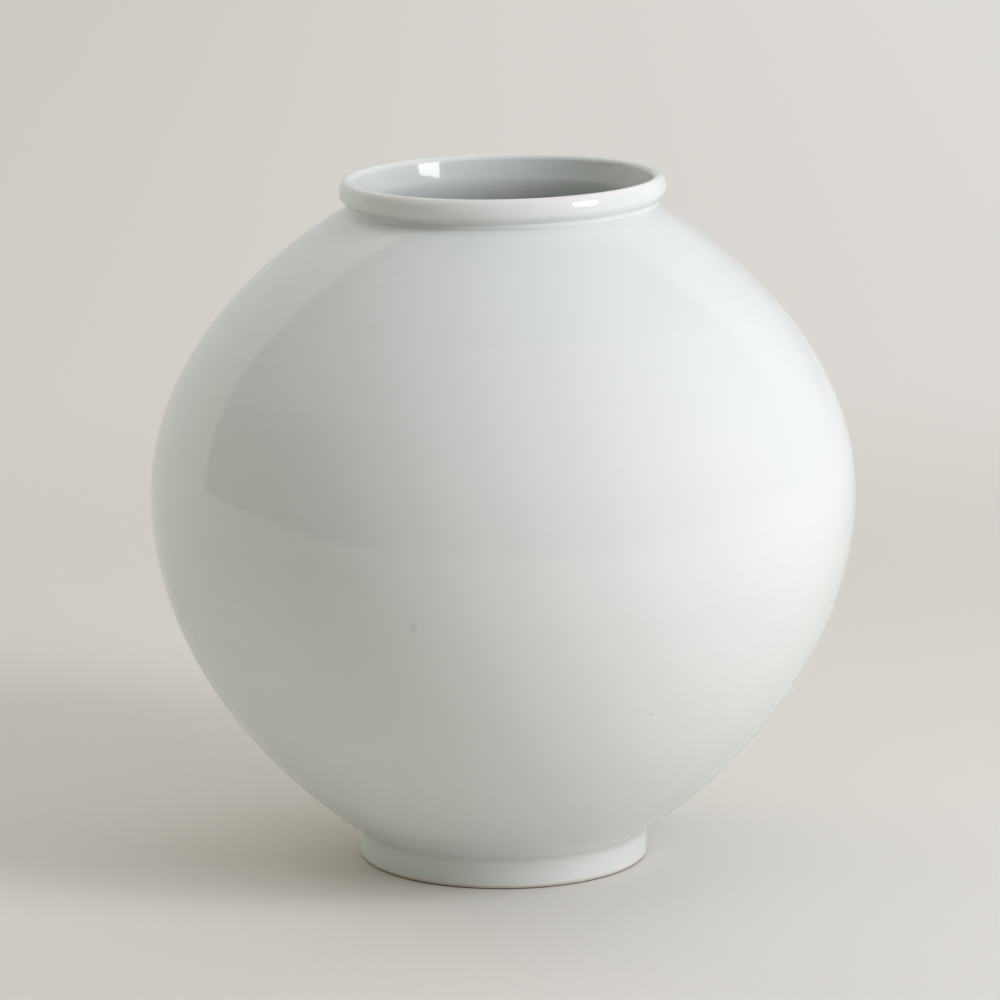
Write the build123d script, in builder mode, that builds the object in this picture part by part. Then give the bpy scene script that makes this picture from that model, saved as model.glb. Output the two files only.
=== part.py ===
from build123d import *
import os
from math import cos, radians, sin

# Moon jar: two thrown bowls luted mouth to mouth at the belly, standing on a turned foot ring
# and finished with a rolled lip. Millimetres, +Z up. The origin is the centre of the circle
# that the foot rests on, and +X is the jar's right side as it is usually shown.

# Foot ring
foot_radius = 62.0
foot_height = 13.0
foot_width = 8.0              # the ring's wall
foot_edge_rise = 1.5          # the sloped, bare edge above the resting face
foot_edge_run = 0.8

# Outside of the lower bowl
flank_angle = 34.5            # rise of the flank where it leaves the top of the foot
flank_reach = 75.5            # how long the flank keeps near that angle
lower_fullness = 44.4         # how long the wall stays upright below the belly
lower_rise = 144.0            # from the bowl's base to its rim at the belly
belly_radius = 150.0

# Outside of the upper bowl
upper_rise = 126.4            # from the bowl's rim at the belly to the joint under the lip
upper_fullness = 64.3         # how long the wall stays upright above the belly
shoulder_angle = 32.0         # fall of the shoulder where it leaves the neck
shoulder_reach = 27.0         # how long the shoulder keeps near that angle
neck_radius = 65.9
neck_wall = 3.5               # between the neck's outside and the throat
neck_height = 2.1             # upright part of the neck below the joint
cove_width = 4.2              # hollow between the foot of the neck and the shoulder
cove_drop = 3.9

# Inside of the two bowls, whose rims are left thick and upright for the seam
rim_wall = 7.2
rim_band = 20.0               # how far the inside stays upright from the seam
floor_thickness = 7.0
floor_inset = 10.0            # the flat floor ends this far inside the foot's outside
floor_angle = 16.0            # rise of the inside where it leaves the floor
floor_reach = 54.0            # how long the inside keeps near that angle
inner_lower_fullness = 18.0   # how long it stays near upright below the band
inner_upper_fullness = 22.0   # and above the band
ceiling_angle = 7.0           # fall of the inside where it leaves the throat's edge
ceiling_reach = 26.0
throat_drop = 1.5             # the narrowest part ends this far below the joint under the lip
throat_edge_run = 5.2         # from there the inside slopes out under the shoulder
throat_edge_drop = 12.4

# Rolled lip, in its own slightly tilted frame on top of the neck
mouth_tilt = 0.9              # degrees: the mouth was set a little higher on its right side
lip_overhang = 3.0            # how far the roll stands out from the neck
lip_widest = 4.2              # height of its widest circle above the neck
lip_crown_rise = 5.6          # from there to the crown, straight above the neck's outside
lip_fold = 1.25               # rounding of the crown's inner edge, above the flared inside

# Luted seam between the bowls
slip_thickness = 0.6
seam_bevel = 2.4              # the rims slope, this much higher at the inside
seam_bead = 0.8               # ridge of squeezed-out slip that stands inside the belly

# Each curve is followed in straight stretches
outer_stretches = 6           # from the belly to the foot, and from the belly to the neck
outer_crowding = 1.6          # over 1: shorter towards the belly, where the wall turns fastest
inner_flank_stretches = 4
inner_shoulder_stretches = 3
roll_stretches = 2            # in the lip's underside, and in its face

belly_z = foot_height + lower_rise
upper_rim_z = belly_z + slip_thickness
neck_z = upper_rim_z + upper_rise
floor_z = foot_height + floor_thickness
well_radius = foot_radius - foot_width
floor_radius = foot_radius - floor_inset
rim_radius = belly_radius - rim_wall
throat_radius = neck_radius - neck_wall
crown_height = lip_widest + lip_crown_rise
section = Plane.XZ


def along(start, angle, distance):
    """The point at a distance from start, in a direction given in degrees from the horizontal."""
    return (start[0] + distance * cos(radians(angle)), start[1] + distance * sin(radians(angle)))


def stretches(curve, count, crowding=1):
    """Points that divide a curve from its start, closer together there if crowding is over 1."""
    return [curve @ ((step / count) ** crowding) for step in range(count + 1)]


# Foot ring, turned true on the wheel
with BuildPart() as foot_ring:
    with BuildSketch(section):
        with BuildLine():
            Polyline(
                (well_radius, 0),
                (foot_radius - foot_edge_run, 0),
                (foot_radius, foot_edge_rise),
                (foot_radius, foot_height),
                (well_radius, foot_height),
                close=True,
            )
        make_face()
    revolve(axis=Axis.Z)
foot_ring.part.label = "foot_ring"

# Lower bowl: flat base, full flank, bevelled rim, and a floor that runs gently into the wall
base_edge = (foot_radius, foot_height)
floor_edge = (floor_radius, floor_z)
lower_rim = (belly_radius, belly_z)
lower_band_end = (rim_radius, belly_z - rim_band)
with BuildPart() as lower_bowl:
    with BuildSketch(section):
        with BuildLine():
            outside = Bezier(
                lower_rim,
                (belly_radius, belly_z - lower_fullness),
                along(base_edge, flank_angle, flank_reach),
                base_edge,
                mode=Mode.PRIVATE,
            )
            inside = Bezier(
                lower_band_end,
                (rim_radius, lower_band_end[1] - inner_lower_fullness),
                along(floor_edge, floor_angle, floor_reach),
                floor_edge,
                mode=Mode.PRIVATE,
            )
            Polyline(
                (0, foot_height),
                *reversed(stretches(outside, outer_stretches, outer_crowding)),
                (rim_radius, belly_z + seam_bevel),
                *stretches(inside, inner_flank_stretches),
                (0, floor_z),
                close=True,
            )
        make_face()
    revolve(axis=Axis.Z)
lower_bowl.part.label = "lower_bowl"

# Slip in the belly seam, scraped flush outside and left as a bead inside
bead_radius = rim_radius - seam_bead
bead_z = belly_z + seam_bevel * (belly_radius - bead_radius) / rim_wall
with BuildPart() as seam_slip:
    with BuildSketch(section):
        with BuildLine():
            Polyline(
                (bead_radius, bead_z),
                (belly_radius, belly_z),
                (belly_radius, upper_rim_z),
                (bead_radius, bead_z + slip_thickness),
                close=True,
            )
        make_face()
    revolve(axis=Axis.Z)
seam_slip.part.label = "seam_slip"

# The mouth's frame, tilted about the middle of the joint between neck and lip
tilt = radians(mouth_tilt)
mouth_axis = Axis((0, 0, neck_z), (-sin(tilt), 0, cos(tilt)))
mouth_section = Plane(origin=(0, 0, neck_z), x_dir=(cos(tilt), 0, sin(tilt)), z_dir=(0, -1, 0))
mouth_joint = Plane(origin=(0, 0, neck_z), x_dir=(cos(tilt), 0, sin(tilt)), z_dir=(-sin(tilt), 0, cos(tilt)))
neck_spare = 2 * neck_radius * sin(tilt)

# Upper bowl: the shoulder, the short neck and the open throat, cut off at the mouth's tilt
upper_rim = (belly_radius, upper_rim_z)
upper_band_end = (rim_radius, upper_rim_z + rim_band)
shoulder_end = (neck_radius + cove_width, neck_z - neck_height - cove_drop)
throat_end = (throat_radius, neck_z - throat_drop)
ceiling_edge = (throat_radius + throat_edge_run, throat_end[1] - throat_edge_drop)
with BuildPart() as upper_bowl:
    with BuildSketch(section):
        with BuildLine():
            outside = Bezier(
                upper_rim,
                (belly_radius, upper_rim_z + upper_fullness),
                along(shoulder_end, -shoulder_angle, shoulder_reach),
                shoulder_end,
                mode=Mode.PRIVATE,
            )
            inside = Bezier(
                upper_band_end,
                (rim_radius, upper_band_end[1] + inner_upper_fullness),
                along(ceiling_edge, -ceiling_angle, ceiling_reach),
                ceiling_edge,
                mode=Mode.PRIVATE,
            )
            Polyline(
                (rim_radius, upper_rim_z + seam_bevel),
                *stretches(outside, outer_stretches, outer_crowding),
                (neck_radius, neck_z - neck_height),
                (neck_radius, neck_z + neck_spare),
                (throat_radius, neck_z + neck_spare),
                throat_end,
                *reversed(stretches(inside, inner_shoulder_stretches)),
                close=True,
            )
        make_face()
    revolve(axis=Axis.Z)
    split(bisect_by=mouth_joint, keep=Keep.BOTTOM)
upper_bowl.part.label = "upper_bowl"

# Rolled lip: a coil folded outwards over the neck, with an inside that flares up to its crown
with BuildPart() as rolled_lip:
    with BuildSketch(mouth_section):
        with BuildLine():
            underside = EllipticalCenterArc(
                (neck_radius, lip_widest),
                lip_overhang,
                lip_widest,
                start_angle=270,
                arc_size=90,
                mode=Mode.PRIVATE,
            )
            face = EllipticalCenterArc(
                (neck_radius, lip_widest),
                lip_overhang,
                lip_crown_rise,
                start_angle=0,
                arc_size=90,
                mode=Mode.PRIVATE,
            )
            Polyline(
                (throat_radius, 0),
                *stretches(underside, roll_stretches),
                *stretches(face, roll_stretches)[1:],
                (neck_radius - lip_fold, crown_height - lip_fold),
                close=True,
            )
        make_face()
    revolve(axis=mouth_axis)
rolled_lip.part.label = "rolled_lip"

os.makedirs("parts", exist_ok=True)
for piece in (foot_ring, lower_bowl, seam_slip, upper_bowl, rolled_lip):
    export_step(piece.part, f"parts/{piece.part.label}.step")
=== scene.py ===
"""Looks for a moon jar: thrown porcelain under a pale glossy glaze, on a plain studio floor.

Metres, +Z up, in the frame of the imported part. The jar's outline is drawn here as the smooth
curves that the potter's hand leaves, and every piece stands where its solid stands.
"""

import math

import bpy
from bpy.props import FloatProperty, FloatVectorProperty, IntProperty, PointerProperty
from mathutils import Matrix, Vector


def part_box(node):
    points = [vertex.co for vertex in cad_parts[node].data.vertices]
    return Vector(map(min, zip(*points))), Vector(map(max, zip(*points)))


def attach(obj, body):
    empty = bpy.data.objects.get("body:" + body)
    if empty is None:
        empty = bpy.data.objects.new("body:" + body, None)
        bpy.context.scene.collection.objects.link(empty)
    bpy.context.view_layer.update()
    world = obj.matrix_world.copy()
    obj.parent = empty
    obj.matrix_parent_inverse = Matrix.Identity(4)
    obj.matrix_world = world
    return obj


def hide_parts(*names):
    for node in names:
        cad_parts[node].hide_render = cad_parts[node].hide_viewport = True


bl_info = {
    "name": "Moon Jar",
    "version": (1, 0, 0),
    "blender": (4, 5, 0),
    "location": "3D View > Sidebar > Moon Jar",
    "description": "Makes a glazed moon jar and the studio around it",
    "category": "Add Mesh",
}

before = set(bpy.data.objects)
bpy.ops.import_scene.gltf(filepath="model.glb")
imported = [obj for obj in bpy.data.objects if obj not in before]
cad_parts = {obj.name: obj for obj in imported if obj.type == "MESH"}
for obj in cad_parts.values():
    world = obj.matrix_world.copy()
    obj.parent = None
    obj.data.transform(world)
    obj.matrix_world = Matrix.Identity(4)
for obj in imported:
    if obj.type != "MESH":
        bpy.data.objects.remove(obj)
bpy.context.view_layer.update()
BODY = "root"

FOOT_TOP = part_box("foot_ring")[1]
BOWL_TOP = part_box("lower_bowl")[1]
SEAM_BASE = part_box("seam_slip")[0]


def length(name, description, default, **settings):
    """A size that a user may change, kept in metres."""
    return FloatProperty(
        name=name,
        description=description,
        default=default,
        subtype="DISTANCE",
        unit="LENGTH",
        precision=4,
        **settings,
    )


def angle(name, description, degrees):
    """An angle that a user may change, given in degrees."""
    return FloatProperty(
        name=name,
        description=description,
        default=math.radians(degrees),
        subtype="ANGLE",
        unit="ROTATION",
    )


def colour(name, description, default):
    """A linear colour."""
    return FloatVectorProperty(
        name=name, description=description, default=default, subtype="COLOR", size=3, min=0, max=1
    )


def share(name, description, default):
    """A part of a whole, from 0 to 1."""
    return FloatProperty(
        name=name, description=description, default=default, min=0, max=1, subtype="FACTOR"
    )


class JarShape(bpy.types.PropertyGroup):
    """Sizes of the turned outline."""

    foot_radius: length("Foot radius", "Outside of the foot ring", FOOT_TOP.x)
    foot_height: length("Foot height", "From the floor to the underside of the jar", FOOT_TOP.z)
    foot_wall: length("Foot wall", "Thickness of the foot ring", 0.008)
    bare_rise: length("Bare edge height", "Height of the sloped, wiped edge of the foot", 0.0015)
    bare_run: length("Bare edge slope", "How far that edge runs in under the foot", 0.0008)
    crease: length("Crease fillet", "How far glaze fills the crease above the foot", 0.0024)
    flank_angle: angle("Flank angle", "Rise of the flank where it leaves the foot", 34.5)
    flank_reach: length("Flank reach", "How long the flank keeps near that angle", 0.0755)
    lower_fullness: length("Lower fullness", "Upright length of the wall below the belly", 0.0444)
    belly_radius: length("Belly radius", "Widest circle of the jar", BOWL_TOP.x)
    belly_height: length("Belly height", "Height of the seam between the bowls", SEAM_BASE.z)
    upper_fullness: length("Upper fullness", "Upright length of the wall above the belly", 0.0643)
    upper_rise: length("Upper rise", "From the seam to the joint under the lip", 0.1264)
    shoulder_angle: angle("Shoulder angle", "Fall of the shoulder where it leaves the neck", 32)
    shoulder_reach: length("Shoulder reach", "How long the shoulder keeps near that angle", 0.027)
    neck_radius: length("Neck radius", "Outside of the short neck", 0.0659)
    neck_wall: length("Neck wall", "Thickness of the neck", 0.0035)
    neck_height: length("Neck height", "Short neck below the joint", 0.0021)
    cove_width: length("Cove width", "Hollow between the neck and the shoulder", 0.0042)
    cove_drop: length("Cove drop", "Height of that hollow", 0.0039)
    cove_flow: length("Cove flow", "How long the hollow keeps the shoulder's angle", 0.0024)
    ridge: length("Neck ridge", "How far the neck swells out under the lip", 0.0002)
    ridge_drop: length("Ridge drop", "The ridge's middle lies this far below the joint", 0.0020)
    ridge_half: length("Half ridge", "Half the height of that ridge", 0.0009)
    fold_fill: length("Fold fill", "Glaze in the fold between neck and lip", 0.0007)
    rim_wall: length("Wall at the seam", "Thickness of both bowls where they are joined", 0.0072)
    rim_band: length("Upright band", "How far the inside stays upright from the seam", 0.020)
    floor_angle: angle("Floor angle", "Rise of the inside where it leaves the floor", 16)
    floor_reach: length("Floor reach", "How long the inside keeps near that angle", 0.054)
    inner_lower_fullness: length("Inner lower fullness", "Upright length below the band", 0.018)
    inner_upper_fullness: length("Inner upper fullness", "Upright length above the band", 0.022)
    ceiling_angle: angle("Ceiling angle", "Fall of the inside below the throat", 15)
    ceiling_reach: length("Ceiling reach", "How long the inside keeps near that angle", 0.026)
    floor_thickness: length("Floor thickness", "Clay between the floor and the foot", 0.007)
    floor_inset: length("Floor inset", "From the foot's outside to the flat floor", 0.010)
    throat_drop: length("Throat depth", "From the lip's joint down the narrowest part", 0.0015)
    throat_run: length("Throat run", "How far the inside then slopes out", 0.0052)
    throat_fall: length("Throat fall", "Height of that slope", 0.0124)
    throat_hang: length("Throat hang", "How long the throat keeps the lip's flare", 0.0045)
    throat_flow: length("Throat flow", "How long it keeps the ceiling's angle", 0.0028)
    slip_thickness: length("Slip thickness", "Slip between the two bowls", 0.0006)
    slip_bead: length("Slip bead", "Ridge of slip inside the belly", 0.0008)
    seam_bevel: length("Seam bevel", "The rims slope, this much higher inside", 0.0024)
    lip_overhang: length("Lip overhang", "How far the rolled lip stands out from the neck", 0.0030)
    lip_widest: length("Lip's widest height", "Above the neck", 0.0042)
    lip_rise: length("Lip rise", "From the widest circle to the crown", 0.0056)
    lip_fold: length("Lip fold", "Rounding of the crown's inner edge", 0.0026)
    mouth_tilt: angle("Mouth tilt", "The mouth sits higher on its right side", 0.9)
    lean: angle("Lean", "The whole jar leans to its right", 0.13)
    steps_round: IntProperty(
        name="Steps round", description="Facets round the jar", default=192, min=24
    )


class GlazeFinish(bpy.types.PropertyGroup):
    """Colours and marks of the glaze and the clay."""

    glaze: colour("Glaze", "Clear glaze over white porcelain", (0.778, 0.813, 0.800))
    pooled: colour("Pooled glaze", "Where the glaze runs thick", (0.60, 0.675, 0.655))
    thin: colour("Thin glaze", "Where the glaze draws back from an edge", (0.83, 0.845, 0.825))
    bare: colour("Bare clay", "Wiped clay at the foot", (0.80, 0.76, 0.69))
    # Near black on the foot's lowest edge: partly soiling, partly a painted contact shadow where
    # the foot meets the floor
    soil_and_contact_shadow: colour("Resting edge", "The foot's darkened edge on the floor", (0.13, 0.11, 0.09))
    speck: colour("Iron speck", "Tiny iron spots under the glaze", (0.20, 0.19, 0.17))
    roughness: share("Gloss roughness", "Roughness of the fired glaze", 0.04)
    bare_roughness: share("Clay roughness", "Roughness of the wiped clay", 0.62)
    unevenness: share("Unevenness", "How far the glaze's thickness shows in its colour", 0.11)
    pooling: share("Pooling", "How thick the glaze runs in a hollow", 0.28)
    cloud_scale: FloatProperty(name="Clouds", description="Uneven patches in a metre", default=14)
    ring_depth: length("Ring depth", "Depth of the fine turning rings under the glaze", 0.000003)
    throw_depth: length("Throwing depth", "Depth of the broad rings left by fingers", 0.00003)


class StudioSet(bpy.types.PropertyGroup):
    """Floor, lamps and camera."""

    floor: colour("Floor", "Plain pale floor", (0.78, 0.754, 0.72))
    # The far paper glows in these tones: painted light, darker to the left and lighter to the right
    # where the key lamps stand
    far_left: colour("Far floor, left", "Far paper to the left", (0.617, 0.584, 0.546))
    far_right: colour("Far floor, right", "Far paper to the right", (0.737, 0.716, 0.680))
    room: colour("Room", "The dim room that the glaze mirrors", (0.09, 0.11, 0.13))
    backdrop: colour("Backdrop", "The paper that the glaze mirrors", (0.58, 0.58, 0.57))
    fill: colour("Fill", "Soft light from all round", (0.16, 0.125, 0.09))
    table_front: length("Table front", "How far the table reaches towards the camera", 1.2)
    power: FloatProperty(name="Lamp power", description="Scales all the lamps", default=1.0, min=0)
    camera_height: length("Camera height", "Above the floor", 0.61034)
    camera_distance: length("Camera distance", "From the jar's axis, along the floor", 2.15313)
    camera_pitch: angle("Camera pitch", "How far the camera looks down", 11.955)
    camera_roll: angle("Camera roll", "The picture's right side sits this much higher", 0.263)
    camera_turn: angle("Camera turn", "How far the camera looks to the left of the axis", 0.0244)
    lens: FloatProperty(
        name="Lens", description="Focal length", default=185.9, subtype="DISTANCE_CAMERA"
    )


# Shader maths


class Value:
    """A number that varies over a surface, used in expressions that add Math nodes."""

    def __init__(self, finish, socket):
        self.finish = finish
        self.socket = socket

    def maths(self, operation, *terms):
        """Adds a Math node on values and numbers."""
        settings = {"operation": operation}
        return self.finish.node("ShaderNodeMath", settings, dict(enumerate(terms)))

    def __add__(self, other):
        return self.maths("ADD", self, other)

    def __radd__(self, other):
        return self.maths("ADD", other, self)

    def __sub__(self, other):
        return self.maths("SUBTRACT", self, other)

    def __rsub__(self, other):
        return self.maths("SUBTRACT", other, self)

    def __mul__(self, other):
        return self.maths("MULTIPLY", self, other)

    def __rmul__(self, other):
        return self.maths("MULTIPLY", other, self)

    def __pow__(self, other):
        return self.maths("POWER", self, other)

    def rises(self, start, end):
        """0 up to start and 1 from end on, smooth between; it falls where start is over end."""
        settings = {"interpolation_type": "SMOOTHSTEP"}
        return self.finish.node(
            "ShaderNodeMapRange", settings, {"Value": self, "From Min": start, "From Max": end}
        )

    def apart(self, other):
        """The distance between two values."""
        return self.maths("ABSOLUTE", self - other)

    def at_least(self, other):
        """The greater of two values."""
        return self.maths("MAXIMUM", self, other)


class Finish:
    """The nodes of one material, or of the world."""

    def __init__(self, owner):
        self.owner = owner
        owner.use_nodes = True
        self.nodes = owner.node_tree.nodes
        self.links = owner.node_tree.links
        self.nodes.clear()

    def node(self, kind, settings=None, sockets=None, output=0):
        """Adds a node: its settings first, then the values or links of its sockets."""
        made = self.nodes.new(kind)
        for key, value in (settings or {}).items():
            setattr(made, key, value)
        by_identifier = {socket.identifier: socket for socket in made.inputs}
        for key, value in (sockets or {}).items():
            socket = by_identifier.get(key) or made.inputs[key]
            if isinstance(value, Value):
                self.links.new(value.socket, socket)
            else:
                socket.default_value = value
        return Value(self, made.outputs[output]) if made.outputs else None

    def mix(self, factor, first, second):
        """A colour between two colours."""
        settings = {"data_type": "RGBA"}
        first, second = self.tone(first), self.tone(second)
        sockets = {"Factor_Float": factor, "A_Color": first, "B_Color": second}
        return self.node("ShaderNodeMix", settings, sockets, output=2)

    @staticmethod
    def tone(value):
        """A colour for a socket, which takes a fourth number."""
        return value if isinstance(value, Value) else (*value, 1)

    def place(self):
        """The point on the surface, and its three coordinates, in metres."""
        point = self.node("ShaderNodeTexCoord", output="Object")
        return point, *self.split(point)

    def split(self, vector):
        """A vector's three numbers."""
        made = self.node("ShaderNodeSeparateXYZ", None, {"Vector": vector})
        return [Value(self, made.socket.node.outputs[name]) for name in "XYZ"]

    def scaled(self, point, scale):
        """A vector stretched along each axis."""
        settings = {"operation": "MULTIPLY"}
        return self.node("ShaderNodeVectorMath", settings, {0: point, 1: scale})

    def noise(self, point, scale, detail=2.0, roughness=0.5, depth=0.0):
        """Soft noise from 0 to 1. Depth is a fourth coordinate."""
        settings = {"noise_dimensions": "4D"}
        sockets = {"Vector": point, "W": depth, "Scale": scale, "Detail": detail}
        sockets["Roughness"] = roughness
        return self.node("ShaderNodeTexNoise", settings, sockets)

    def near(self, point, centre, inner, outer):
        """1 within inner of a spot and 0 from outer on."""
        settings = {"operation": "DISTANCE"}
        sockets = {0: point, 1: centre}
        distance = self.node("ShaderNodeVectorMath", settings, sockets, output="Value")
        return distance.rises(outer, inner)

    def surface(self, sockets):
        """The material's surface, on a Principled shader."""
        shader = self.node("ShaderNodeBsdfPrincipled", None, sockets)
        self.node("ShaderNodeOutputMaterial", None, {"Surface": shader})
        return self.owner


# Turned outlines

# A handle of this share of the radius makes a curve of the quarter of a circle
QUARTER = 0.5523
# A point nearer the axis than this stands on it
ON_AXIS = 1e-9
# Stretches along each kind of curve
WALL_STEPS = 72
INSIDE_STEPS = 48
FACE_STEPS = 16
UNDERSIDE_STEPS = 14
ROUNDING_STEPS = 8
FOLD_STEPS = 6


def bezier(start, start_handle, end_handle, end, count):
    """Points and directions along a smooth curve, evenly spread in its parameter."""
    run = []
    for step in range(count + 1):
        t = step / count
        u = 1 - t
        point = (
            u**3 * Vector(start)
            + 3 * u * u * t * Vector(start_handle)
            + 3 * u * t * t * Vector(end_handle)
            + t**3 * Vector(end)
        )
        direction = (
            u * u * (Vector(start_handle) - Vector(start))
            + 2 * u * t * (Vector(end_handle) - Vector(start_handle))
            + t * t * (Vector(end) - Vector(end_handle))
        )
        run.append((point, direction.normalized()))
    return run


def straight(start, end, count=1):
    """Points and directions along a straight line."""
    direction = (Vector(end) - Vector(start)).normalized()
    return [(Vector(start).lerp(Vector(end), step / count), direction) for step in range(count + 1)]


def arc(centre, radii, start, end, count):
    """A stretch of an ellipse, from one angle in degrees to another."""
    run = []
    sense = math.copysign(1, end - start)
    for step in range(count + 1):
        a = math.radians(start + (end - start) * step / count)
        point = Vector((centre[0] + radii[0] * math.cos(a), centre[1] + radii[1] * math.sin(a)))
        direction = Vector((-radii[0] * math.sin(a), radii[1] * math.cos(a))) * sense
        run.append((point, direction.normalized()))
    return run


def polar(start, rise, distance):
    """The point at a distance from start, at an angle in radians above the horizontal."""
    return (start[0] + distance * math.cos(rise), start[1] + distance * math.sin(rise))


def outline_of(runs):
    """The points of an outline, and the two normals at the ends of each stretch between them."""
    points, normals = [], []
    for run in runs:
        for (first, first_way), (second, second_way) in zip(run, run[1:]):
            points.append(first)
            ends = Vector((first_way.y, -first_way.x)), Vector((second_way.y, -second_way.x))
            normals.append(ends)
    if points[0].x < ON_AXIS:
        points.append(runs[-1][-1][0])
    return points, normals


def ring_vertices(points, compass, place, lifts):
    """A ring of vertices for each point, or one vertex where it stands on the axis."""
    vertices, rings = [], []
    for point, lift in zip(points, lifts):
        first = len(vertices)
        if point.x < ON_AXIS:
            rings.append([first] * len(compass))
            vertices.append(place @ Vector((0, 0, point.y)))
        else:
            rings.append(list(range(first, first + len(compass))))
            for way in compass:
                vertices.append(place @ (way * point.x + Vector((0, 0, point.y + way.x * lift))))
    return vertices, rings


def band_faces(rings, normals, compass, straightened):
    """The faces between each ring and the next, and the normals of their corners."""
    around = len(compass)
    faces, corner_normals = [], []
    for index, (low_normal, high_normal) in enumerate(normals):
        low = rings[index]
        high = rings[(index + 1) % len(rings)]
        for step in range(around):
            after = (step + 1) % around
            face = []
            for vertex, normal, side in (
                (low[step], low_normal, step),
                (low[after], low_normal, after),
                (high[after], high_normal, after),
                (high[step], high_normal, step),
            ):
                if vertex not in face:
                    face.append(vertex)
                    way = compass[side] * normal.x + Vector((0, 0, normal.y))
                    corner_normals.append((straightened @ way).normalized())
            faces.append(face)
    return faces, corner_normals


def turn(name, runs, shape, tilted=False, eased=None):
    """Revolves an outline into a closed mesh. Each run is smooth, with a crisp edge where two meet.

    The runs go round the clay anticlockwise, seen with the axis on the left, so that the wall's
    outside is always on their right. Eased gives two heights between which the clay takes on the
    mouth's tilt.
    """
    points, normals = outline_of(runs)
    around = shape.steps_round
    turnings = [2 * math.pi * step / around for step in range(around)]
    compass = [Vector((math.cos(a), math.sin(a), 0)) for a in turnings]
    slope = math.tan(shape.mouth_tilt)
    lifts = [slope * tilt_share(point.y, eased) * point.x for point in points]
    place = standing(shape, tilted)
    vertices, rings = ring_vertices(points, compass, place, lifts)
    faces, corner_normals = band_faces(rings, normals, compass, place.to_3x3())
    mesh = bpy.data.meshes.new(name)
    mesh.from_pydata(vertices, [], faces)
    mesh.validate()
    mesh.shade_smooth()
    mesh.normals_split_custom_set(corner_normals)
    piece = bpy.data.objects.new(name, mesh)
    bpy.context.scene.collection.objects.link(piece)
    return piece


def tilt_share(height, eased):
    """How much of the mouth's tilt a height has taken on, from 0 to 1."""
    if eased is None:
        return 0.0
    low, high = eased
    part = min(max((height - low) / (high - low), 0.0), 1.0)
    return part * part * (3 - 2 * part)


def standing(shape, tilted):
    """Where the turned outline stands: the jar's lean, and for the lip the mouth's tilt."""
    lean = Matrix.Identity(4)
    lean[0][2] = math.tan(shape.lean)
    if not tilted:
        return lean
    neck = shape.belly_height + shape.slip_thickness + shape.upper_rise
    up = Matrix.Translation((0, 0, neck))
    return lean @ up @ Matrix.Rotation(-shape.mouth_tilt, 4, "Y")


def dress(piece, node, material):
    """Gives a piece its finish and puts it in the place of its solid."""
    piece.data.materials.append(material)
    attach(piece, BODY)
    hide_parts(node)


def outer_lower_wall(shape):
    """The flank and lower belly, from the crease above the foot up to the seam."""
    base = Vector((shape.foot_radius, shape.foot_height))
    rim = (shape.belly_radius, shape.belly_height)
    return bezier(
        base,
        polar(base, shape.flank_angle, shape.flank_reach),
        (rim[0], rim[1] - shape.lower_fullness),
        rim,
        WALL_STEPS,
    )


def crease_fillet(shape):
    """Glaze in the crease between foot and flank, in two halves that meet at the joint."""
    corner = Vector((shape.foot_radius, shape.foot_height))
    below = corner - Vector((0, shape.crease))
    above = Vector(polar(corner, shape.flank_angle, shape.crease))
    handles = below.lerp(corner, 2 / 3), above.lerp(corner, 2 / 3)
    whole = bezier(below, *handles, above, ROUNDING_STEPS)
    middle = ROUNDING_STEPS // 2
    return whole[: middle + 1], whole[middle:]


def lip_flare(shape):
    """The rise of the lip's inside, from the throat up to the rounding at the crown, in radians."""
    height = shape.lip_widest + shape.lip_rise - shape.lip_fold
    return math.atan2(height, shape.neck_wall - shape.lip_fold)


# Finishes


# Iron marks seen in the glaze: where, how far each is full and where it ends, and how strong it is
IRON_MARKS = (
    ((-0.0358, -0.1431, 0.1330), 0.0004, 0.0024, 0.14),
    ((0.0602, -0.1180, 0.0898), 0.0002, 0.0007, 0.50),
)
# A faintly mottled patch on the shoulder, given in the same way, with its noise's scale and span
MOTTLED = ((-0.0540, -0.0800, 0.2570), 0.012, 0.048, 0.035)
MOTTLE_SCALE = 75.0
MOTTLE_SPAN = (0.42, 0.66)
# Stray specks: cells in a metre, where a speck ends and is full, and how strong it is
SPECK_CELLS = 27.0
SPECK_SPAN = (0.012, 0.006)
SPECK_STRENGTH = 0.35
# Turning rings, fine and broad: scale round the jar, rings in a metre and how far they wander
RINGS = ((1.0, 330, 1.5), (0.8, 75, 0.9))
RING_STRETCH = 5
RING_WANDER_SCALE = 9.0
# How far the radius counts beside the height along the rings
RADIUS_SHARE = 0.55
# How much clouds, fine rings and broad rings each make the glaze uneven, and the span from thin
# to thick
CLOUD_SHARE = 0.5
RING_SHARE = 0.25
THICKNESS_SPAN = (0.34, 0.66)
# A hollow's pool fades in over this much from the middle of the wall
SKIN_BLUR = 0.0005
# How far clouds move the edge of the thin glaze, and how much they vary the gloss
CROWN_WAVER = 0.001
GLOSS_SPREAD = 0.03
# The wiped edge: how far above the foot's slope it starts, how far it wavers and its blur
WIPED_ABOVE = 0.0009
WIPED_WAVER = 0.0008
EDGE_BLUR = 0.0002
# Height of the foot's near-black bottom band: partly soiling, partly painted contact shadow
SOIL_AND_SHADOW_HEIGHT = 0.0005
# Grain of the bare clay: scale, how dark its hollows are, and its depth
CLAY_SCALE = 1400.0
CLAY_SHADE = 0.82
CLAY_DEPTH = 0.00004
GLAZE_IOR = 1.5


def shaded(tone, factor):
    """A darker shade of a colour."""
    return tuple(part * factor for part in tone)


def turning_marks(finish, point, radius, z):
    """Soft rings that run round the jar, fine ones and broad ones, with a slight wander."""
    wander = finish.noise(point, RING_WANDER_SCALE, detail=1.0)
    outline = z + radius * RADIUS_SHARE
    slow = finish.scaled(point, (RING_STRETCH, RING_STRETCH, RING_STRETCH))
    return [
        finish.noise(slow, scale, detail=1.0, depth=outline * rings + wander * sway)
        for scale, rings, sway in RINGS
    ]


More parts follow.
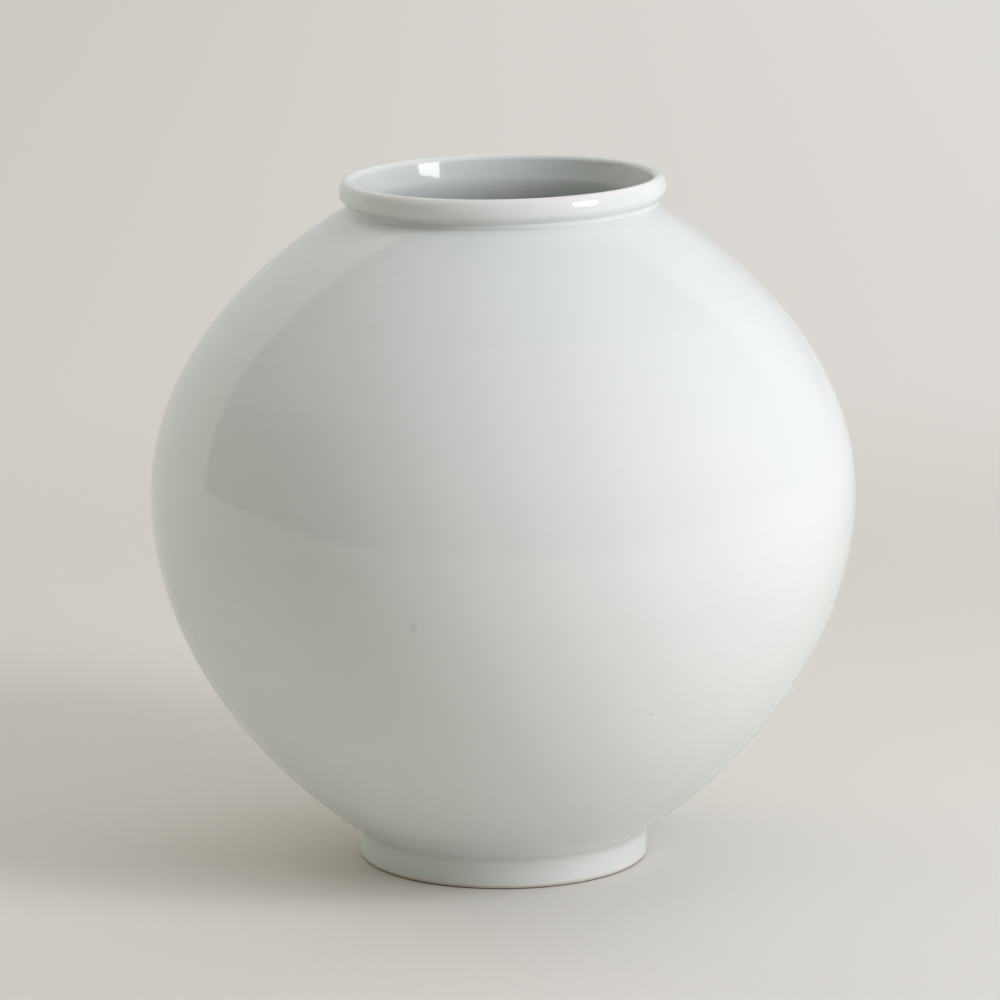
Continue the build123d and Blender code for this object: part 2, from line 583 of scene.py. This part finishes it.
def iron_specks(finish, point):
    """Tiny spots where a grain of iron lies near the surface, from marks seen and at random."""
    centre, inner, outer, strength = MOTTLED
    mottling = finish.noise(point, MOTTLE_SCALE, detail=3.0).rises(*MOTTLE_SPAN)
    settings = {"voronoi_dimensions": "3D", "feature": "F1"}
    sockets = {"Vector": point, "Scale": SPECK_CELLS}
    distance = finish.node("ShaderNodeTexVoronoi", settings, sockets)
    spots = distance.rises(*SPECK_SPAN) * SPECK_STRENGTH
    spots = spots.at_least(finish.near(point, centre, inner, outer) * mottling * strength)
    for centre, inner, outer, strength in IRON_MARKS:
        spots = spots.at_least(finish.near(point, centre, inner, outer) * strength)
    return spots


def glaze(name, settings, pools=(), crown=None, bare_below=None, marks=False):
    """Clear glaze over white porcelain, thicker in hollows and thinner on an edge.

    Each pool is a hollow's height, how far the thick glaze spreads, and the radius within which
    there is none. The crown is the height where the glaze starts to thin, the height where it is
    thinnest, and the slope of both.
    """
    finish = Finish(bpy.data.materials.new(name))
    point, x, y, z = finish.place()
    radius = (x * x + y * y) ** 0.5
    fine, broad = turning_marks(finish, point, radius, z)
    clouds = finish.noise(point, settings.cloud_scale, detail=3.0, roughness=0.55)
    uneven = clouds * CLOUD_SHARE + fine * RING_SHARE + broad * RING_SHARE
    thick = uneven.rises(*THICKNESS_SPAN) * settings.unevenness
    for height, spread, inner in pools:
        outside = (radius - inner).rises(-SKIN_BLUR, SKIN_BLUR)
        thick = thick.at_least(z.apart(height).rises(spread, 0) * outside * settings.pooling)
    tone = finish.mix(thick, settings.glaze, settings.pooled)
    if crown is not None:
        low, high, slope = crown
        thinning = (z - x * slope + clouds * CROWN_WAVER).rises(low, high)
        tone = finish.mix(thinning, tone, settings.thin)
    if marks:
        tone = finish.mix(iron_specks(finish, point), tone, settings.speck)
    gloss = clouds * GLOSS_SPREAD + (settings.roughness - GLOSS_SPREAD / 2)
    height = fine * settings.ring_depth + broad * settings.throw_depth
    if bare_below is not None:
        grain = finish.noise(point, CLAY_SCALE, detail=3.0)
        edge = bare_below + WIPED_ABOVE - clouds * WIPED_WAVER
        bare = (z - edge).rises(EDGE_BLUR, -EDGE_BLUR)
        clay = finish.mix(grain, settings.bare, shaded(settings.bare, CLAY_SHADE))
        tone = finish.mix(bare, tone, clay)
        # The lowest half millimetre of the foot is painted near black: partly soiling, partly a
        # painted contact shadow against the floor
        soil_and_contact_shadow = (z - SOIL_AND_SHADOW_HEIGHT).rises(EDGE_BLUR, -EDGE_BLUR)
        tone = finish.mix(soil_and_contact_shadow, tone, settings.soil_and_contact_shadow)
        gloss = gloss * (1 - bare) + bare * settings.bare_roughness
        height = height + grain * bare * CLAY_DEPTH
    bump = finish.node("ShaderNodeBump", None, {"Height": height, "Distance": 1.0, "Strength": 1.0})
    sockets = {"Base Color": tone, "Roughness": gloss, "IOR": GLAZE_IOR, "Normal": bump}
    return finish.surface(sockets)


# Pieces

# Thick glaze spreads this many times the width of the fillet that it fills
CREASE_SPREAD = 1.6
FOLD_SPREAD = 2.0
# Handles this much longer than a swelling's height bring the middle of its curve out to it
SWELL = 4 / 3


class MOONJAR_OT_foot_ring(bpy.types.Operator):
    """Turns the foot ring, glazed down to its sloped bare edge"""

    bl_idname = "moonjar.foot_ring"
    bl_label = "Foot Ring"

    def execute(self, context):
        shape = context.scene.moon_jar_shape
        well = shape.foot_radius - shape.foot_wall
        low_edge = (shape.foot_radius - shape.bare_run, 0)
        high_edge = (shape.foot_radius, shape.bare_rise)
        below, _ = crease_fillet(shape)
        inner_top = (well, shape.foot_height)
        runs = [
            straight((well, 0), low_edge, 3),
            straight(low_edge, high_edge, 2),
            straight(high_edge, below[0][0], 4) + below[1:],
            straight(below[-1][0], inner_top),
            straight(inner_top, (well, 0), 4),
        ]
        piece = turn("turned_foot", runs, shape)
        skin = well + shape.foot_wall / 2
        crease = ((shape.foot_height, shape.crease * CREASE_SPREAD, skin),)
        settings = context.scene.moon_jar_glaze
        finish = glaze("foot_glaze", settings, pools=crease, bare_below=shape.bare_rise)
        dress(piece, "foot_ring", finish)
        return {"FINISHED"}


class MOONJAR_OT_lower_bowl(bpy.types.Operator):
    """Throws the lower bowl, with its flat floor and full flank"""

    bl_idname = "moonjar.lower_bowl"
    bl_label = "Lower Bowl"

    def execute(self, context):
        shape = context.scene.moon_jar_shape
        _, above = crease_fillet(shape)
        wall = outer_lower_wall(shape)
        while wall[0][0].x < above[-1][0].x:
            wall.pop(0)
        rim_radius = shape.belly_radius - shape.rim_wall
        floor_height = shape.foot_height + shape.floor_thickness
        base = (0, shape.foot_height)
        under_edge = (shape.foot_radius - shape.foot_wall, shape.foot_height)
        floor_edge = (shape.foot_radius - shape.floor_inset, floor_height)
        band_end = (rim_radius, shape.belly_height - shape.rim_band)
        rim_inside = (rim_radius, shape.belly_height + shape.seam_bevel)
        inside = bezier(
            band_end,
            (rim_radius, band_end[1] - shape.inner_lower_fullness),
            polar(floor_edge, shape.floor_angle, shape.floor_reach),
            floor_edge,
            INSIDE_STEPS,
        )
        runs = [
            straight(base, under_edge) + straight(under_edge, above[0][0])[1:],
            above + wall,
            straight(wall[-1][0], rim_inside),
            straight(rim_inside, band_end, 2) + inside[1:],
            straight(floor_edge, (0, floor_height), 4),
        ]
        piece = turn("thrown_lower_bowl", runs, shape)
        skin = shape.foot_radius - shape.foot_wall / 2
        crease = ((shape.foot_height, shape.crease * CREASE_SPREAD, skin),)
        finish = glaze("lower_glaze", context.scene.moon_jar_glaze, pools=crease, marks=True)
        dress(piece, "lower_bowl", finish)
        return {"FINISHED"}


class MOONJAR_OT_seam_slip(bpy.types.Operator):
    """Lays the slip between the bowls, flush outside and a low bead inside"""

    bl_idname = "moonjar.seam_slip"
    bl_label = "Seam Slip"

    def execute(self, context):
        shape = context.scene.moon_jar_shape
        bead = shape.belly_radius - shape.rim_wall - shape.slip_bead
        slope = shape.seam_bevel / shape.rim_wall
        inner_low = (bead, shape.belly_height + slope * (shape.belly_radius - bead))
        outer_low = (shape.belly_radius, shape.belly_height)
        thick = Vector((0, shape.slip_thickness))
        outer_high = Vector(outer_low) + thick
        inner_high = Vector(inner_low) + thick
        runs = [
            straight(inner_low, outer_low),
            straight(outer_low, outer_high),
            straight(outer_high, inner_high),
            straight(inner_high, inner_low),
        ]
        piece = turn("joining_slip_layer", runs, shape)
        dress(piece, "seam_slip", glaze("slip_glaze", context.scene.moon_jar_glaze))
        return {"FINISHED"}


class MOONJAR_OT_upper_bowl(bpy.types.Operator):
    """Throws the upper bowl, with its shoulder, short neck and open throat"""

    bl_idname = "moonjar.upper_bowl"
    bl_label = "Upper Bowl"

    def execute(self, context):
        shape = context.scene.moon_jar_shape
        rim_height = shape.belly_height + shape.slip_thickness
        neck_top = rim_height + shape.upper_rise
        cove_top = neck_top - shape.neck_height
        shoulder_end = Vector((shape.neck_radius + shape.cove_width, cove_top - shape.cove_drop))
        rim = (shape.belly_radius, rim_height)
        outside, neck_joint, ridge_height = self.outside(shape, rim, neck_top, shoulder_end)
        rim_radius = shape.belly_radius - shape.rim_wall
        rim_inside = (rim_radius, rim_height + shape.seam_bevel)
        band_end = (rim_radius, rim_height + shape.rim_band)
        throat_top = (shape.neck_radius - shape.neck_wall, neck_top)
        inside = self.inside(shape, throat_top, band_end)
        runs = [
            straight(rim_inside, rim),
            outside,
            straight(neck_joint, throat_top),
            inside + straight(band_end, rim_inside, 2)[1:],
        ]
        piece = turn("thrown_upper_bowl", runs, shape, eased=(shoulder_end.y, neck_top))
        skin = shape.neck_radius - shape.neck_wall / 2
        hollow = (
            (ridge_height, shape.cove_drop, skin),
            (neck_top, shape.fold_fill * FOLD_SPREAD, skin),
        )
        finish = glaze("upper_glaze", context.scene.moon_jar_glaze, pools=hollow, marks=True)
        dress(piece, "upper_bowl", finish)
        return {"FINISHED"}

    @staticmethod
    def outside(shape, rim, neck_top, shoulder_end):
        """The wall, cove, neck ridge and fold in one run, the run's end and the ridge's height."""
        full = (rim[0], rim[1] + shape.upper_fullness)
        shoulder_handle = polar(shoulder_end, -shape.shoulder_angle, shape.shoulder_reach)
        wall = bezier(rim, full, shoulder_handle, shoulder_end, WALL_STEPS)
        ridge_middle = neck_top - shape.ridge_drop
        ridge_low = Vector((shape.neck_radius, ridge_middle - shape.ridge_half))
        ridge_high = Vector((shape.neck_radius, ridge_middle + shape.ridge_half))
        swell = Vector((shape.ridge * SWELL, shape.ridge_half * SWELL / 2))
        ebb = Vector((-swell.x, swell.y))
        neck_joint = Vector((shape.neck_radius + shape.fold_fill, neck_top))
        joint_handle = neck_joint - Vector((1, 1)) * shape.fold_fill / 2
        cove_handle = polar(shoulder_end, math.pi - shape.shoulder_angle, shape.cove_flow)
        cove = bezier(shoulder_end, cove_handle, ridge_low - swell, ridge_low, ROUNDING_STEPS)
        ridge = bezier(ridge_low, ridge_low + swell, ridge_high - ebb, ridge_high, ROUNDING_STEPS)
        fold = bezier(ridge_high, ridge_high + ebb / 2, joint_handle, neck_joint, FOLD_STEPS)
        return wall + cove[1:] + ridge[1:] + fold[1:], neck_joint, ridge_low.y

    @staticmethod
    def inside(shape, throat_top, band_end):
        """The throat, which goes on from the lip's flare, and the inside under the shoulder."""
        throat_radius, neck_top = throat_top
        ceiling_height = neck_top - shape.throat_drop - shape.throat_fall
        ceiling_edge = (throat_radius + shape.throat_run, ceiling_height)
        throat = bezier(
            throat_top,
            polar(throat_top, lip_flare(shape) - math.pi, shape.throat_hang),
            polar(ceiling_edge, math.pi - shape.ceiling_angle, shape.throat_flow),
            ceiling_edge,
            FACE_STEPS,
        )
        ceiling = bezier(
            ceiling_edge,
            polar(ceiling_edge, -shape.ceiling_angle, shape.ceiling_reach),
            (band_end[0], band_end[1] + shape.inner_upper_fullness),
            band_end,
            INSIDE_STEPS,
        )
        return throat + ceiling[1:]


class MOONJAR_OT_rolled_lip(bpy.types.Operator):
    """Rolls the lip outwards over the neck"""

    bl_idname = "moonjar.rolled_lip"
    bl_label = "Rolled Lip"

    def execute(self, context):
        shape = context.scene.moon_jar_shape
        throat_radius = shape.neck_radius - shape.neck_wall
        crown = shape.lip_widest + shape.lip_rise
        widest = (shape.neck_radius, shape.lip_widest)
        fold = Vector((shape.neck_radius + shape.fold_fill, 0))
        side = Vector((shape.neck_radius + shape.lip_overhang, shape.lip_widest))
        fold_handle = fold + Vector((1, 1)) * shape.lip_overhang / 3
        side_handle = side - Vector((0, shape.lip_widest * QUARTER))
        underside = bezier(fold, fold_handle, side_handle, side, UNDERSIDE_STEPS)
        face = arc(widest, (shape.lip_overhang, shape.lip_rise), 0, 90, FACE_STEPS)
        fold_height = crown - shape.lip_fold
        slant = 90 - math.degrees(lip_flare(shape))
        edge_size = (shape.lip_fold, shape.lip_fold)
        edge_middle = (shape.neck_radius, fold_height)
        edge = arc(edge_middle, edge_size, 90, 180 - slant, ROUNDING_STEPS)
        throat_end = (throat_radius, 0)
        runs = [
            straight(throat_end, fold),
            underside + face[1:] + edge[1:] + straight(edge[-1][0], throat_end, 2)[1:],
        ]
        piece = turn("rolled_lip_coil", runs, shape, tilted=True)
        joint = shape.belly_height + shape.slip_thickness + shape.upper_rise
        crown_edge = (joint + fold_height, joint + crown, shape.mouth_tilt)
        skin = shape.neck_radius - shape.neck_wall / 2
        pools = ((joint, shape.fold_fill * FOLD_SPREAD, skin),)
        finish = glaze("lip_glaze", context.scene.moon_jar_glaze, pools=pools, crown=crown_edge)
        dress(piece, "rolled_lip", finish)
        return {"FINISHED"}


# Studio


# The lamps are placed round this point and face it
JAR_MIDDLE = Vector((0, 0, 0.16))

# Soft lamps: name, compass angle from the camera's side towards the jar's right, rise, distance,
# width and height in metres, power in watts, and tone
LAMPS = (
    ("key_softbox", 59, 17, 1.6, (0.7, 0.6), 6.5, (0.95, 0.95, 1.0)),
    ("key_top", 56, 36, 1.6, (0.5, 0.5), 9.4, (0.90, 0.92, 1.0)),
    ("key_low", 64, 8, 1.6, (0.6, 0.3), 3.0, (1.0, 0.97, 0.93)),
    ("left_fill", -75, 20, 2.0, (1.5, 1.5), 4.6, (0.82, 1.0, 0.93)),
    ("back_left", -130, 30, 2.4, (1.5, 1.5), 11.4, (1.0, 0.93, 0.87)),
    ("back", 180, 35, 2.6, (2.5, 1.5), 8.0, (0.93, 1.0, 0.99)),
    ("back_right", 130, 30, 2.4, (1.5, 1.5), 6.5, (0.85, 1.0, 1.0)),
    ("ceiling", 0, 89, 2.6, (4.0, 4.0), 30.0, (0.92, 0.98, 1.0)),
)
# A small lamp close to the softbox, which shines on the lip's gloss alone
GLINT = ("lip_glint", 60, 19, 1.55, (0.5, 0.6), 9.0, (1.0, 1.0, 1.0))

# The floor's half width, and the ring round the axis over which the lit paper gives way to its far
# tone, a painted glow
FLOOR_REACH = 12.0
FAR_SPAN = (0.45, 1.15)
# Painted light: the far tone goes from its darker left one to its lighter right one, on the key
# lamps' side, over this much on each side of the axis
SIDE_BLEND = 0.6
# How far the table's front edge is blurred
TABLE_BLUR = 0.03
# Grain of the paper: scale, strength and how dark it gets; and the paper's roughness
PAPER_SCALE = 900.0
PAPER_GRAIN = 0.05
PAPER_SHADE = 0.8
PAPER_ROUGHNESS = 0.75
# The glaze mirrors the dim room in the directions that lie in front of two upright planes, one on
# each side, which lean back: the shares of across, back and up in the planes' normals
ROOM_SIDES = (0.341, 0.861, 0.378)
ROOM_BLUR = 0.01
# Width of the camera's sensor in millimetres
SENSOR = 36


def hang(row, strength):
    """Hangs a flat soft lamp that faces the jar, from a row like those of LAMPS."""
    name, compass, rise, distance, size, power, tone = row
    around, up = math.radians(compass), math.radians(rise)
    flat = math.cos(up)
    way = Vector((math.sin(around) * flat, -math.cos(around) * flat, math.sin(up)))
    data = bpy.data.lights.new(name, "AREA")
    data.shape = "RECTANGLE"
    data.size, data.size_y = size
    data.energy = power * strength
    data.color = tone
    made = bpy.data.objects.new(name, data)
    bpy.context.scene.collection.objects.link(made)
    made.location = JAR_MIDDLE + way * distance
    made.rotation_mode = "QUATERNION"
    made.rotation_quaternion = (-way).to_track_quat("-Z", "Y")
    return made


def rays(finish):
    """1 for a ray straight from the camera or through glass, and 1 for a mirrored one."""
    outputs = finish.node("ShaderNodeLightPath").socket.node.outputs
    names = ("Is Camera Ray", "Is Transmission Ray", "Is Glossy Ray")
    camera, through, mirrored = (Value(finish, outputs[name]) for name in names)
    return camera + through, mirrored


class MOONJAR_OT_studio(bpy.types.Operator):
    """Sets up the floor, the soft lamps and the camera"""

    bl_idname = "moonjar.studio"
    bl_label = "Studio"

    def execute(self, context):
        studio = context.scene.moon_jar_studio
        self.lay_floor(studio)
        self.fill_room(context, studio)
        self.hang_lamps(studio)
        self.place_camera(context, studio)
        return {"FINISHED"}

    @staticmethod
    def lay_floor(studio):
        """A wide paper floor, pale far behind, which ends as a table does in the glaze's mirror."""
        reach = FLOOR_REACH
        mesh = bpy.data.meshes.new("studio_floor")
        corners = [(-reach, -reach, 0), (reach, -reach, 0), (reach, reach, 0), (-reach, reach, 0)]
        mesh.from_pydata(corners, [], [(0, 1, 2, 3)])
        floor = bpy.data.objects.new("studio_floor", mesh)
        bpy.context.scene.collection.objects.link(floor)
        finish = Finish(bpy.data.materials.new("floor_paper"))
        point, x, y, _ = finish.place()
        grain = finish.noise(point, PAPER_SCALE) * PAPER_GRAIN
        near_tone = finish.mix(grain, studio.floor, shaded(studio.floor, PAPER_SHADE))
        sockets = {"Base Color": near_tone, "Roughness": PAPER_ROUGHNESS}
        paper = finish.node("ShaderNodeBsdfPrincipled", None, sockets)
        seen, mirrored = rays(finish)
        # Painted light: the far paper's glow is darker to the left and lighter to the right, as the
        # key lamps would light it
        rightwards = x.rises(-SIDE_BLEND, SIDE_BLEND)
        far_tone = finish.mix(rightwards, studio.far_left, studio.far_right)
        past_table = y.rises(-studio.table_front, -studio.table_front - TABLE_BLUR)
        tone = finish.mix(mirrored * past_table, far_tone, studio.room)
        glow = finish.node("ShaderNodeEmission", None, {"Color": tone})
        far = ((x * x + y * y) ** 0.5).rises(*FAR_SPAN) * (seen + mirrored)
        shader = finish.node("ShaderNodeMixShader", None, {0: far, 1: paper, 2: glow})
        finish.node("ShaderNodeOutputMaterial", None, {"Surface": shader})
        mesh.materials.append(finish.owner)

    @staticmethod
    def fill_room(context, studio):
        """Soft light from all round, pale paper to the camera, and a dim room in the glaze."""
        context.scene.world = bpy.data.worlds.new("studio_room")
        finish = Finish(context.scene.world)
        seen, mirrored = rays(finish)
        x, y, z = finish.split(finish.node("ShaderNodeTexCoord", output="Generated"))
        across, back, up = ROOM_SIDES
        behind = (y * back - x.apart(0.0) * across - z * up).rises(-ROOM_BLUR, ROOM_BLUR)
        reflection = finish.mix(behind, studio.room, studio.backdrop)
        tone = finish.mix(seen, finish.mix(mirrored, studio.fill, reflection), studio.far_right)
        background = finish.node("ShaderNodeBackground", None, {"Color": tone})
        finish.node("ShaderNodeOutputWorld", None, {"Surface": background})

    @staticmethod
    def hang_lamps(studio):
        """The soft lamps, which the glaze doesn't mirror, and the one that only the lip does."""
        for row in LAMPS:
            hang(row, studio.power).visible_glossy = False
        glint = hang(GLINT, studio.power)
        glint.visible_diffuse = False
        lit = bpy.data.collections.new("lip_gloss")
        lit.objects.link(bpy.data.objects["rolled_lip_coil"])
        glint.light_linking.receiver_collection = lit

    @staticmethod
    def place_camera(context, studio):
        """A long lens at the height and distance that the photograph's perspective shows."""
        data = bpy.data.cameras.new("camera")
        data.sensor_width = SENSOR
        data.lens = studio.lens
        camera = bpy.data.objects.new("camera", data)
        context.scene.collection.objects.link(camera)
        place = Matrix.Translation((0, -studio.camera_distance, studio.camera_height))
        pitch = Matrix.Rotation(math.pi / 2 - studio.camera_pitch, 4, "X")
        roll = Matrix.Rotation(-studio.camera_roll, 4, "Z")
        turned = Matrix.Rotation(studio.camera_turn, 4, "Z")
        camera.matrix_world = place @ turned @ pitch @ roll
        context.scene.camera = camera


class MOONJAR_PT_panel(bpy.types.Panel):
    """Lists the jar's pieces, its sizes and its colours"""

    bl_idname = "MOONJAR_PT_panel"
    bl_label = "Moon Jar"
    bl_space_type = "VIEW_3D"
    bl_region_type = "UI"
    bl_category = "Moon Jar"

    def draw(self, context):
        layout = self.layout
        for operator in OPERATORS:
            layout.operator(operator.bl_idname)
        for group, _ in GROUPS:
            settings = getattr(context.scene, group)
            box = layout.box()
            for name in settings.bl_rna.properties.keys():
                if name not in ("rna_type", "name"):
                    box.prop(settings, name)


GROUPS = (
    ("moon_jar_shape", JarShape),
    ("moon_jar_glaze", GlazeFinish),
    ("moon_jar_studio", StudioSet),
)
OPERATORS = (
    MOONJAR_OT_foot_ring,
    MOONJAR_OT_lower_bowl,
    MOONJAR_OT_seam_slip,
    MOONJAR_OT_upper_bowl,
    MOONJAR_OT_rolled_lip,
    MOONJAR_OT_studio,
)


def register():
    for name, group in GROUPS:
        bpy.utils.register_class(group)
        setattr(bpy.types.Scene, name, PointerProperty(type=group))
    for operator in OPERATORS:
        bpy.utils.register_class(operator)
    bpy.utils.register_class(MOONJAR_PT_panel)


def unregister():
    bpy.utils.unregister_class(MOONJAR_PT_panel)
    for operator in reversed(OPERATORS):
        bpy.utils.unregister_class(operator)
    for name, group in reversed(GROUPS):
        delattr(bpy.types.Scene, name)
        bpy.utils.unregister_class(group)


def main():
    """Makes the jar and its studio."""
    register()
    bpy.context.scene.view_settings.view_transform = "Standard"
    bpy.ops.moonjar.foot_ring()
    bpy.ops.moonjar.lower_bowl()
    bpy.ops.moonjar.seam_slip()
    bpy.ops.moonjar.upper_bowl()
    bpy.ops.moonjar.rolled_lip()
    bpy.ops.moonjar.studio()


if __name__ == "__main__":
    main()
